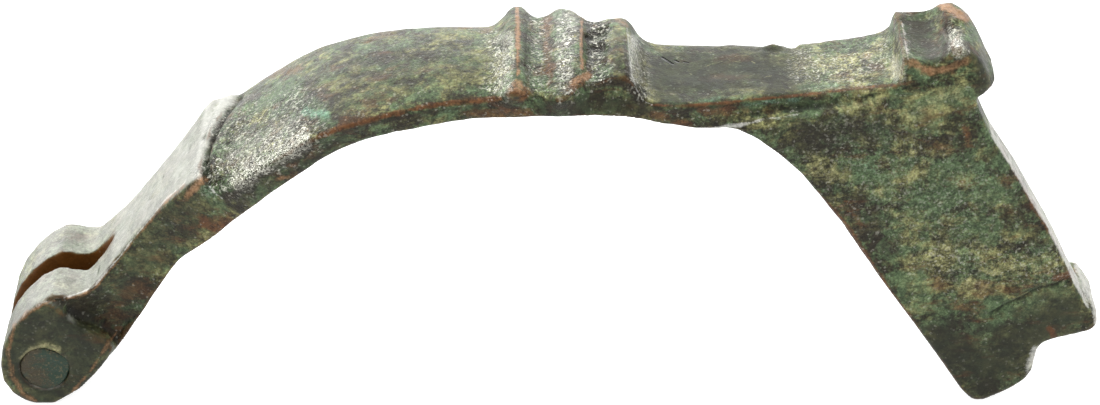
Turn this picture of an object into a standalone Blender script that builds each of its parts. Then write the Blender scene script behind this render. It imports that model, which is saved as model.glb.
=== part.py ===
import math

import bpy
import bmesh
from mathutils import Vector

# A cast copper-alloy bow brooch of the hinged kind, standing as an arch.
# X runs from the hinge at the head to the catchplate at the foot, Z is up.
# The outline points are in drawing units, about a millimetre each. Heights
# are above the feet, and lengths are along X from the middle of the brooch.

# Overall sizes in metres
BROOCH_LENGTH = 0.0504
BROOCH_HEIGHT = 0.0187
BOW_WIDTH = 0.0081

# The same three sizes in drawing units
LENGTH_IN_UNITS = 50.4
HEIGHT_IN_UNITS = 18.7
WIDTH_IN_UNITS = 8.1

ALONG_UNIT = BROOCH_LENGTH / LENGTH_IN_UNITS
UP_UNIT = BROOCH_HEIGHT / HEIGHT_IN_UNITS
ACROSS_UNIT = BOW_WIDTH / WIDTH_IN_UNITS

# Hinge at the head
HEAD_WIDTH = 0.00610
SLOT_WIDTH = 0.00120
AXLE_RADIUS = 0.00098
AXLE_CLEARANCE = 0.00012
AXLE_RECESS = 0.00006
AXLE_ALONG = -23.26
AXLE_UP = 2.13
AXLE_SIDES = 32

# Catchplate at the foot
PLATE_THICKNESS = 0.00185
PLATE_NEAR_FACE = -0.00337
PLATE_TURN_PER_LENGTH = 0.0426
PLATE_LEAN_PER_HEIGHT = 0.0300
CATCH_DEPTH = 0.00300
CATCH_WALL = 0.00080
CATCH_FLOOR = 0.00070
CATCH_GROOVE_IN_PLATE = 0.00055

# The groove for the pin's point stops short of the catchplate's outer edge
GROOVE_END_LOW = 24.35
GROOVE_END_HIGH = 23.30
GROOVE_RIM = 0.00001

# The catchplate fades into the bow towards the head
FADE_START = 9.00
FADE_PER_LENGTH = 0.25

# How far a worn rim is rounded off
RIM = 0.00018
PLATE_RIM = 0.00022
SECTION_RIM = 0.18

# How much is worn off level at the bottom of the feet
FOOT_FLAT = 0.00007

# Path steps drawn between two stations of the bow
STEPS_BETWEEN_STATIONS = 3

# A cutting tool reaches this far past what it cuts: in units and in metres
CUT_PAST_UNITS = 1.0
CUT_PAST = 0.001

# How high the slot is cut, in units, which is above the head's crest
SLOT_TOP = 9.5

# Points nearer than these are one in a new piece and in the finished casting,
# and edges flatter than this angle are shaded smooth
WELD_DISTANCE = 0.000001
MERGE_DISTANCE = 0.000004
SMOOTH_ANGLE = 38.0

# Stations of the bow from the head to the knob. Each holds the top edge
# (along, up), the underside (along, up), the half width of the top, of the
# waist between and of the underside, the height of the domed middle over the
# top edge, and how much the top edge is rounded.
BOW_STATIONS = [
    (-22.90, 5.60, -20.90, 1.75, 2.95, 2.45, 2.70, 0.00, 1.0),
    (-22.10, 6.12, -19.95, 2.80, 3.00, 2.30, 2.50, 0.00, 1.0),
    (-21.30, 6.12, -19.15, 3.92, 2.92, 2.15, 2.35, 0.02, 1.0),
    (-20.60, 6.68, -18.50, 4.86, 2.62, 2.08, 2.25, 0.04, 1.0),
    (-19.95, 7.50, -17.95, 5.78, 2.30, 2.08, 2.20, 0.05, 1.0),
    (-19.20, 8.38, -17.35, 6.72, 2.14, 2.12, 2.20, 0.05, 1.0),
    (-18.40, 9.38, -16.70, 7.66, 2.18, 2.22, 2.30, 0.05, 1.0),
    (-17.40, 10.62, -15.85, 8.48, 2.42, 2.50, 2.55, 0.05, 1.0),
    (-16.35, 11.87, -14.95, 9.38, 2.78, 2.85, 2.85, 0.04, 1.0),
    (-15.52, 12.75, -14.30, 10.12, 3.02, 3.10, 3.08, 0.03, 1.0),
    (-15.00, 12.60, -13.95, 10.50, 3.16, 3.26, 3.22, 0.12, 1.0),
    (-14.65, 12.55, -13.55, 10.98, 3.42, 3.46, 3.42, 0.55, 1.0),
    (-14.15, 12.72, -13.10, 11.48, 3.72, 3.70, 3.66, 0.62, 1.0),
    (-13.45, 13.30, -12.50, 12.12, 3.98, 3.92, 3.86, 0.56, 1.0),
    (-12.45, 14.04, -11.72, 12.80, 4.06, 4.02, 3.95, 0.52, 1.0),
    (-11.25, 14.90, -10.75, 13.48, 3.92, 3.88, 3.82, 0.48, 1.0),
    (-9.75, 15.66, -9.40, 14.38, 3.78, 3.75, 3.68, 0.45, 1.0),
    (-8.00, 16.22, -7.75, 15.04, 3.70, 3.66, 3.58, 0.42, 1.0),
    (-6.20, 16.60, -6.05, 15.36, 3.50, 3.46, 3.38, 0.40, 1.0),
    (-4.60, 16.81, -4.55, 15.56, 3.28, 3.25, 3.18, 0.38, 1.0),
    (-3.25, 16.87, -3.25, 15.72, 3.16, 3.14, 3.10, 0.36, 1.0),
    (-2.62, 16.92, -2.62, 15.80, 3.18, 3.18, 3.18, 0.34, 0.8),
    (-2.22, 17.16, -2.22, 15.86, 3.38, 3.32, 3.26, 0.34, 0.8),
    (-1.88, 17.48, -1.88, 15.91, 3.62, 3.44, 3.34, 0.34, 0.8),
    (-1.55, 17.62, -1.55, 15.96, 3.76, 3.52, 3.40, 0.34, 0.8),
    (-1.22, 17.58, -1.22, 16.01, 3.70, 3.50, 3.44, 0.32, 0.8),
    (-0.95, 17.40, -0.95, 16.04, 3.48, 3.44, 3.46, 0.24, 0.8),
    (-0.55, 17.27, -0.55, 16.08, 3.30, 3.42, 3.48, 0.18, 0.8),
    (-0.05, 17.28, -0.05, 16.12, 3.60, 3.58, 3.58, 0.26, 0.8),
    (0.40, 17.32, 0.40, 16.14, 3.96, 3.74, 3.62, 0.42, 0.8),
    (0.98, 17.44, 0.98, 16.12, 3.58, 3.50, 3.56, 0.42, 0.8),
    (1.42, 17.52, 1.42, 16.07, 2.94, 3.12, 3.44, 0.32, 0.8),
    (1.68, 17.40, 1.68, 16.03, 2.80, 2.98, 3.36, 0.10, 0.8),
    (2.10, 17.42, 2.10, 15.94, 2.72, 2.86, 3.22, 0.06, 0.8),
    (2.60, 17.62, 2.60, 15.84, 2.64, 2.72, 3.10, 0.22, 0.8),
    (3.25, 17.68, 3.25, 15.70, 2.62, 2.64, 2.92, 0.24, 0.8),
    (3.60, 17.42, 3.60, 15.58, 2.64, 2.62, 2.82, 0.20, 0.8),
    (3.98, 16.82, 3.98, 15.46, 2.66, 2.62, 2.72, 0.10, 1.0),
    (4.42, 16.40, 4.42, 15.30, 2.70, 2.62, 2.64, 0.03, 1.0),
    (5.30, 16.26, 5.30, 15.07, 2.66, 2.58, 2.58, 0.02, 1.0),
    (7.00, 16.28, 7.00, 14.82, 2.55, 2.50, 2.50, 0.02, 1.0),
    (8.75, 16.42, 8.75, 14.86, 2.37, 2.34, 2.34, 0.02, 1.0),
    (11.00, 16.48, 11.00, 15.10, 2.14, 2.14, 2.14, 0.02, 1.0),
    (13.10, 16.66, 13.10, 15.30, 2.20, 2.22, 2.20, 0.03, 1.0),
    (14.60, 16.95, 14.60, 15.50, 2.42, 2.42, 2.34, 0.04, 1.0),
    (15.12, 17.22, 15.12, 15.58, 2.56, 2.50, 2.40, 0.05, 1.2),
    (15.38, 18.26, 15.38, 15.68, 2.36, 2.52, 2.42, 0.02, 2.2),
    (16.10, 18.31, 16.10, 15.80, 2.32, 2.52, 2.44, -0.12, 2.5),
    (16.85, 18.42, 16.85, 15.90, 2.30, 2.50, 2.44, -0.14, 2.5),
    (17.40, 18.76, 17.40, 16.00, 2.30, 2.48, 2.42, 0.00, 2.3),
    (17.90, 18.70, 17.90, 16.10, 2.26, 2.44, 2.38, 0.04, 2.2),
    (18.45, 18.42, 18.45, 16.25, 2.14, 2.32, 2.26, 0.06, 2.0),
    (18.94, 17.86, 18.94, 16.45, 1.88, 2.02, 1.96, 0.10, 1.4),
    (19.30, 17.26, 19.30, 16.72, 1.38, 1.50, 1.48, 0.10, 0.8),
    (19.52, 17.06, 19.52, 16.84, 0.80, 0.88, 0.86, 0.04, 0.4),
]

# Where the domed bow starts over the end of the head plate its middle reaches
# further back than its edges, and its far edge stands higher than its near
# edge: along, reach of the middle, half of the difference in height.
TONGUE = [
    (-16.40, 0.00, 0.00), (-15.52, 0.00, 0.10), (-15.00, 0.48, 0.24),
    (-14.65, 0.45, 0.34), (-14.15, 0.30, 0.18), (-13.40, 0.10, 0.02),
    (-12.60, 0.00, 0.00),
]

# Where an edge of the bow's top stands further out than its half width:
# along, how far the near edge does, how far the far edge does.
EDGES_OUT = [
    (-17.40, 0.00, 0.00), (-16.35, 0.00, 0.12), (-15.52, 0.00, 0.36),
    (-15.00, 0.00, 0.50), (-14.65, 0.00, 0.42), (-14.15, 0.00, 0.05),
    (-13.45, 0.00, 0.00), (-12.45, 0.00, 0.00), (-11.25, 0.20, 0.00),
    (-9.75, 0.26, 0.00), (-8.00, 0.12, 0.00), (-6.20, 0.00, 0.00),
    (10.40, 0.00, 0.00), (11.40, 0.00, 0.25), (13.10, 0.00, 0.30),
    (14.20, 0.00, 0.15), (15.00, 0.00, 0.00),
]

# The knob's end is worn off on its far side: along, shift to the near side
KNOB_TURN = [
    (17.90, 0.00), (18.45, 0.12), (18.94, 0.32), (19.30, 0.56), (19.52, 0.80),
]

# Side outline of a hinge lug from the top of its crest round the outside
LUG_OUTLINE = [
    (-21.55, 6.04), (-22.10, 6.20), (-22.60, 6.20), (-23.30, 5.80),
    (-24.00, 5.16), (-24.64, 4.30), (-25.10, 3.34), (-25.34, 2.24),
    (-25.26, 1.34), (-24.90, 0.66), (-24.36, 0.22), (-23.90, 0.03),
    (-23.00, 0.03), (-22.55, 0.32), (-21.70, 0.92), (-20.90, 1.78),
    (-20.30, 2.60), (-20.00, 3.20), (-20.15, 3.66), (-20.60, 3.92),
    (-21.45, 4.45), (-22.05, 5.05), (-21.80, 5.55),
]

# Plan of the slot between the lugs from its open end: along, share of width
SLOT_PLAN = [(-27.00, 1.00), (-21.20, 1.00), (-20.55, 0.78), (-20.02, 0.20)]

# Outline of the catchplate from its top corner at the head side, downwards
PLATE_OUTLINE = [
    (7.15, 15.60), (7.45, 14.98), (8.25, 14.84), (9.10, 14.46),
    (10.08, 13.68), (11.06, 12.70), (12.00, 11.44), (13.00, 10.06),
    (14.90, 7.00), (16.90, 3.96), (18.10, 2.16),
    (18.98, 0.76), (19.40, 0.24), (19.68, 0.03), (20.14, 0.03),
    (20.75, 0.32), (21.45, 0.74), (22.05, 1.22), (22.30, 1.66),
    (22.44, 2.84), (22.64, 3.18), (23.18, 3.38), (24.13, 3.62),
    (24.85, 3.84), (25.12, 4.20), (25.04, 4.66), (24.66, 5.00),
    (24.42, 5.42), (23.98, 6.28), (22.45, 9.44), (20.47, 12.86),
    (19.52, 14.37), (18.80, 15.92), (18.55, 16.90), (15.60, 16.70),
    (13.11, 16.00), (10.94, 15.72), (9.50, 15.54), (8.30, 15.46),
]

# Outline of the thicker foot of the catchplate that holds the pin's point
CATCH_OUTLINE = [
    (22.85, 3.48), (23.90, 3.66), (24.80, 3.84), (25.12, 4.24),
    (25.08, 4.72), (24.66, 5.36), (24.30, 5.82), (23.10, 5.55),
    (22.78, 4.80),
]


def along(units):
    return units * ALONG_UNIT


def up(units):
    return units * UP_UNIT


def across(units):
    return units * ACROSS_UNIT


def clear_scene():
    for item in list(bpy.data.objects):
        bpy.data.objects.remove(item, do_unlink=True)


def make_material(name, colour, roughness, metallic):
    material = bpy.data.materials.new(name)
    material.use_nodes = True
    shader = material.node_tree.nodes["Principled BSDF"]
    shader.inputs["Base Color"].default_value = (colour[0], colour[1], colour[2], 1.0)
    shader.inputs["Roughness"].default_value = roughness
    shader.inputs["Metallic"].default_value = metallic
    return material


def object_from_mesh(name, built):
    bmesh.ops.remove_doubles(built, verts=built.verts, dist=WELD_DISTANCE)
    bmesh.ops.recalc_face_normals(built, faces=built.faces)
    mesh = bpy.data.meshes.new(name)
    built.to_mesh(mesh)
    built.free()
    item = bpy.data.objects.new(name, mesh)
    bpy.context.collection.objects.link(item)
    return item


def object_from_rings(name, rings):
    """Skin closed rings of points into one solid with a cap at each end."""
    built = bmesh.new()
    rows = [[built.verts.new(point) for point in ring] for ring in rings]
    count = len(rows[0])
    for first, second in zip(rows, rows[1:]):
        for index in range(count):
            following = (index + 1) % count
            built.faces.new((first[index], first[following], second[following], second[index]))
    built.faces.new(list(reversed(rows[0])))
    built.faces.new(rows[-1])
    return object_from_mesh(name, built)


def smooth_between(values, position, part):
    """Value between two stations on a curve that never overshoots either."""
    before = values[max(position - 1, 0)]
    start = values[position]
    end = values[position + 1]
    after = values[min(position + 2, len(values) - 1)]
    slope_start = limited_slope(start - before, end - start)
    slope_end = limited_slope(end - start, after - end)
    squared = part * part
    cubed = squared * part
    value = (2.0 * cubed - 3.0 * squared + 1.0) * start
    value += (cubed - 2.0 * squared + part) * slope_start
    value += (3.0 * squared - 2.0 * cubed) * end
    value += (cubed - squared) * slope_end
    return value


def limited_slope(left, right):
    if left * right <= 0.0:
        return 0.0
    return 2.0 * left * right / (left + right)


def section_half(half_top, half_waist, half_under, dome, rim, depth):
    """One side of the bow's cross section from the top middle to the under middle.

    Each point is (across, share of the way down from the top edge)."""
    rim_down = min(rim / depth, 0.35)
    return [
        (0.00, -dome / depth),
        (0.34 * half_top, -0.90 * dome / depth),
        (0.64 * half_top, -0.62 * dome / depth),
        (0.82 * half_top, -0.34 * dome / depth),
        (half_top - rim, -0.08 * dome / depth),
        (half_top - 0.30 * rim, 0.30 * rim_down),
        (half_top, rim_down),
        (half_waist, 0.55),
        (half_under, 1.0 - 0.12 / max(depth, 0.8)),
        (half_under - 0.12, 0.99),
        (0.50 * half_under, 1.0),
        (0.00, 1.0),
    ]


def values_at(table, place_along):
    """Values of a table of (along, values) rows at a place, zero outside it."""
    for start, end in zip(table, table[1:]):
        if start[0] <= place_along <= end[0]:
            part = (place_along - start[0]) / (end[0] - start[0])
            return [low + (high - low) * part for low, high in zip(start[1:], end[1:])]
    return [0.0] * (len(table[0]) - 1)


def build_bow():
    columns = list(zip(*BOW_STATIONS))
    rings = []
    for position in range(len(BOW_STATIONS) - 1):
        for step in range(STEPS_BETWEEN_STATIONS):
            part = step / STEPS_BETWEEN_STATIONS
            rings.append([smooth_between(column, position, part) for column in columns])
    rings.append(list(BOW_STATIONS[-1]))
    solid_rings = []
    for station in rings:
        top_along, top_up, low_along, low_up = station[0:4]
        half_top, half_waist, half_under, dome, rounding = station[4:9]
        depth = math.hypot(top_along - low_along, top_up - low_up)
        rim = SECTION_RIM * rounding
        reach, rise = values_at(TONGUE, top_along)
        near_out, far_out = values_at(EDGES_OUT, top_along)
        turn = values_at(KNOB_TURN, top_along)[0]
        half = section_half(half_top, half_waist, half_under, dome, rim, depth)
        mirrored = [(-side, share) for side, share in reversed(half[1:-1])]
        ring = []
        for side, share in half + mirrored:
            place_along = top_along + (low_along - top_along) * share
            place_up = top_up + (low_up - top_up) * share
            on_top = max(0.0, 1.0 - max(share, 0.0) * 2.0)
            outwards = side / half_top
            place_along -= reach * on_top * max(0.0, 1.0 - outwards * outwards)
            place_up += rise * on_top * outwards
            out = (far_out if side > 0.0 else near_out) * on_top * outwards
            ring.append(Vector((along(place_along), across(side + out - turn), up(place_up))))
        solid_rings.append(ring)
    return object_from_rings("brooch_casting", solid_rings)


def inset_outline(outline, distance):
    """Move each point of a closed outline inwards along the corner's middle line."""
    count = len(outline)
    area = 0.0
    for index in range(count):
        here = outline[index]
        following = outline[(index + 1) % count]
        area += here[0] * following[1] - following[0] * here[1]
    turn = 1.0 if area > 0.0 else -1.0
    moved = []
    for index in range(count):
        before = Vector(outline[index - 1])
        here = Vector(outline[index])
        following = Vector(outline[(index + 1) % count])
        coming = (here - before).normalized()
        going = (following - here).normalized()
        inward = Vector((-(coming.y + going.y), coming.x + going.x)) * turn
        inward.normalize()
        moved.append((here.x + inward.x * distance, here.y + inward.y * distance))
    return moved


def build_slab(name, outline, near, far, rim, lean):
    """A flat slab with rounded rims between two Y values, leaning if lean says so."""
    layers = [
        (near, rim),
        (near + 0.30 * rim, 0.30 * rim),
        (near + rim, 0.0),
        (far - rim, 0.0),
        (far - 0.30 * rim, 0.30 * rim),
        (far, rim),
    ]
    rings = []
    for side, inset in layers:
        ring = []
        for place_along, place_up in inset_outline(outline, inset):
            shift = lean(place_along, place_up) if lean else 0.0
            ring.append(Vector((place_along, side + shift, place_up)))
        rings.append(ring)
    return object_from_rings(name, rings)


def in_metres(outline):
    return [(along(point[0]), up(point[1])) for point in outline]


def plate_lean(place_along, place_up):
    """How far the catchplate's faces turn and lean away from the near side."""
    above_middle = place_up - up(HEIGHT_IN_UNITS * 0.5)
    shift = PLATE_TURN_PER_LENGTH * place_along + PLATE_LEAN_PER_HEIGHT * above_middle
    shift += FADE_PER_LENGTH * max(0.0, along(FADE_START) - place_along)
    return shift


def build_block(name, low, high):
    built = bmesh.new()
    bmesh.ops.create_cube(built, size=1.0)
    for vertex in built.verts:
        for axis in range(3):
            middle = 0.5 * (low[axis] + high[axis])
            vertex.co[axis] = middle + vertex.co[axis] * (high[axis] - low[axis])
    return object_from_mesh(name, built)


def build_rod(name, place_along, place_up, radius, near, far):
    rings = []
    for side in (near, far):
        ring = []
        for index in range(AXLE_SIDES):
            angle = 2.0 * math.pi * index / AXLE_SIDES
            ring.append(Vector((
                place_along + radius * math.cos(angle),
                side,
                place_up + radius * math.sin(angle),
            )))
        rings.append(ring)
    return object_from_rings(name, rings)


def combine(target, tool, operation):
    """Join the tool to the target or cut it away, then remove the tool."""
    tool.hide_render = True
    tool.display_type = "WIRE"
    modifier = target.modifiers.new("combine", "BOOLEAN")
    modifier.operation = operation
    modifier.solver = "EXACT"
    modifier.object = tool
    graph = bpy.context.evaluated_depsgraph_get()
    graph.update()
    result = bpy.data.meshes.new_from_object(target.evaluated_get(graph))
    target.modifiers.clear()
    old = target.data
    target.data = result
    bpy.data.meshes.remove(old)
    bpy.data.objects.remove(tool, do_unlink=True)


def tidy_mesh(item, merge_distance):
    built = bmesh.new()
    built.from_mesh(item.data)
    bmesh.ops.remove_doubles(built, verts=built.verts, dist=merge_distance)
    bmesh.ops.dissolve_degenerate(built, edges=built.edges, dist=merge_distance * 0.5)
    bmesh.ops.triangulate(built, faces=[face for face in built.faces if len(face.verts) > 4])
    bmesh.ops.recalc_face_normals(built, faces=built.faces)
    built.to_mesh(item.data)
    built.free()


def build_casting():
    casting = build_bow()
    half_head = HEAD_WIDTH * 0.5
    lugs = build_slab("lugs", in_metres(LUG_OUTLINE), -half_head, half_head, RIM, None)
    combine(casting, lugs, "UNION")

    near = PLATE_NEAR_FACE
    plate = build_slab(
        "plate", in_metres(PLATE_OUTLINE), near, near + PLATE_THICKNESS, PLATE_RIM, plate_lean
    )
    combine(casting, plate, "UNION")

    catch = build_slab(
        "catch", in_metres(CATCH_OUTLINE), near + 2.0 * RIM, near + CATCH_DEPTH, RIM, plate_lean
    )
    combine(casting, catch, "UNION")

    groove_low = up(CATCH_OUTLINE[0][1]) + CATCH_FLOOR
    groove_high = up(CATCH_OUTLINE[6][1]) + CATCH_FLOOR
    groove_outline = [
        (along(CATCH_OUTLINE[0][0] - CUT_PAST_UNITS), groove_low),
        (along(GROOVE_END_LOW), groove_low),
        (along(GROOVE_END_HIGH), groove_high),
        (along(CATCH_OUTLINE[0][0] - CUT_PAST_UNITS), groove_high),
    ]
    groove_near = near + PLATE_THICKNESS - CATCH_GROOVE_IN_PLATE
    groove_far = near + CATCH_DEPTH - CATCH_WALL
    groove = build_slab("groove", groove_outline, groove_near, groove_far, GROOVE_RIM, plate_lean)
    combine(casting, groove, "DIFFERENCE")

    slot_half = SLOT_WIDTH * 0.5
    slot_rings = []
    plan = [(along(place), slot_half * share) for place, share in SLOT_PLAN]
    border = [(place, -half) for place, half in plan]
    border += [(place, half) for place, half in reversed(plan)]
    for height in (up(-CUT_PAST_UNITS), up(SLOT_TOP)):
        slot_rings.append([Vector((place, side, height)) for place, side in border])
    slot = object_from_rings("slot", slot_rings)
    combine(casting, slot, "DIFFERENCE")

    hole = build_rod(
        "hole", along(AXLE_ALONG), up(AXLE_UP), AXLE_RADIUS + AXLE_CLEARANCE,
        -half_head - CUT_PAST, half_head + CUT_PAST
    )
    combine(casting, hole, "DIFFERENCE")

    reach = BROOCH_LENGTH
    ground = build_block("ground", (-reach, -reach, -reach), (reach, reach, FOOT_FLAT))
    combine(casting, ground, "DIFFERENCE")
    tidy_mesh(casting, MERGE_DISTANCE)
    return casting


def build_axle():
    half_head = HEAD_WIDTH * 0.5
    return build_rod(
        "hinge_axle", along(AXLE_ALONG), up(AXLE_UP), AXLE_RADIUS,
        -half_head + AXLE_RECESS, half_head - AXLE_RECESS
    )


def centre_on_feet(items):
    """Put the middle of the whole brooch over the origin and its feet on Z = 0."""
    low = [1.0, 1.0, 1.0]
    high = [-1.0, -1.0, -1.0]
    for item in items:
        for vertex in item.data.vertices:
            for axis in range(3):
                low[axis] = min(low[axis], vertex.co[axis])
                high[axis] = max(high[axis], vertex.co[axis])
    shift = Vector((-0.5 * (low[0] + high[0]), -0.5 * (low[1] + high[1]), -low[2]))
    for item in items:
        for vertex in item.data.vertices:
            vertex.co += shift
        item.data.update()


def shade(item):
    for face in item.data.polygons:
        face.use_smooth = True
    item.data.set_sharp_from_angle(angle=math.radians(SMOOTH_ANGLE))


def main():
    clear_scene()
    bronze = make_material("patinated_bronze", (0.115, 0.115, 0.075), 0.42, 0.55)
    rod_bronze = make_material("green_bronze_rod", (0.075, 0.120, 0.080), 0.55, 0.35)
    casting = build_casting()
    axle = build_axle()
    centre_on_feet([casting, axle])
    casting.data.materials.clear()
    casting.data.materials.append(bronze)
    axle.data.materials.append(rod_bronze)
    shade(casting)
    shade(axle)


main()
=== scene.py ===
import math

import bpy
import numpy as np
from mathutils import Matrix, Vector, noise


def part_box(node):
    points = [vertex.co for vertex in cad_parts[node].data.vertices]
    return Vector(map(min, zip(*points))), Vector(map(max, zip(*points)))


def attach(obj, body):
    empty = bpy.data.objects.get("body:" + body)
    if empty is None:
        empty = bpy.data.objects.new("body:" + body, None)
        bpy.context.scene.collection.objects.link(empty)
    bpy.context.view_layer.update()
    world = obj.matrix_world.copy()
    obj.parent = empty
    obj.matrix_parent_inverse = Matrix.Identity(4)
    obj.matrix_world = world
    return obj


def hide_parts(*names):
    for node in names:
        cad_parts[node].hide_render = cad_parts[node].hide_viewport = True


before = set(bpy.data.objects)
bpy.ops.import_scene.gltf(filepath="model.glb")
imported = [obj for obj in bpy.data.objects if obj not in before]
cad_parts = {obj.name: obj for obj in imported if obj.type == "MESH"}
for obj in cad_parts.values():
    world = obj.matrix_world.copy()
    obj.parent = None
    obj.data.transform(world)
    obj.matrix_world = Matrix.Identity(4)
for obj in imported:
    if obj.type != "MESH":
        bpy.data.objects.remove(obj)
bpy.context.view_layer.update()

# The photograph's camera: it looks down along +Y at the middle of the brooch
PHOTO_WIDTH = 1100.0
PHOTO_HEIGHT = 405.0
FOCAL_PIXELS = 3294.0
SENSOR_WIDTH = 36.0
CAMERA_ELEVATION = math.radians(34.0)
CAMERA_DISTANCE = 0.150
CAMERA_TARGET = Vector((0.00011, 0.0, 0.00928))
CAMERA_PLACE = CAMERA_TARGET + CAMERA_DISTANCE * Vector(
    (0.0, -math.cos(CAMERA_ELEVATION), math.sin(CAMERA_ELEVATION))
)
CAMERA_CLIP = 0.01

MM = 0.001

# Grids in millimetres on which the two surfaces are drawn anew, and how near
# two points of a solid are one
CASTING_GRID = 0.125
ROD_GRID = 0.070
WELD = 0.0001

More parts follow.
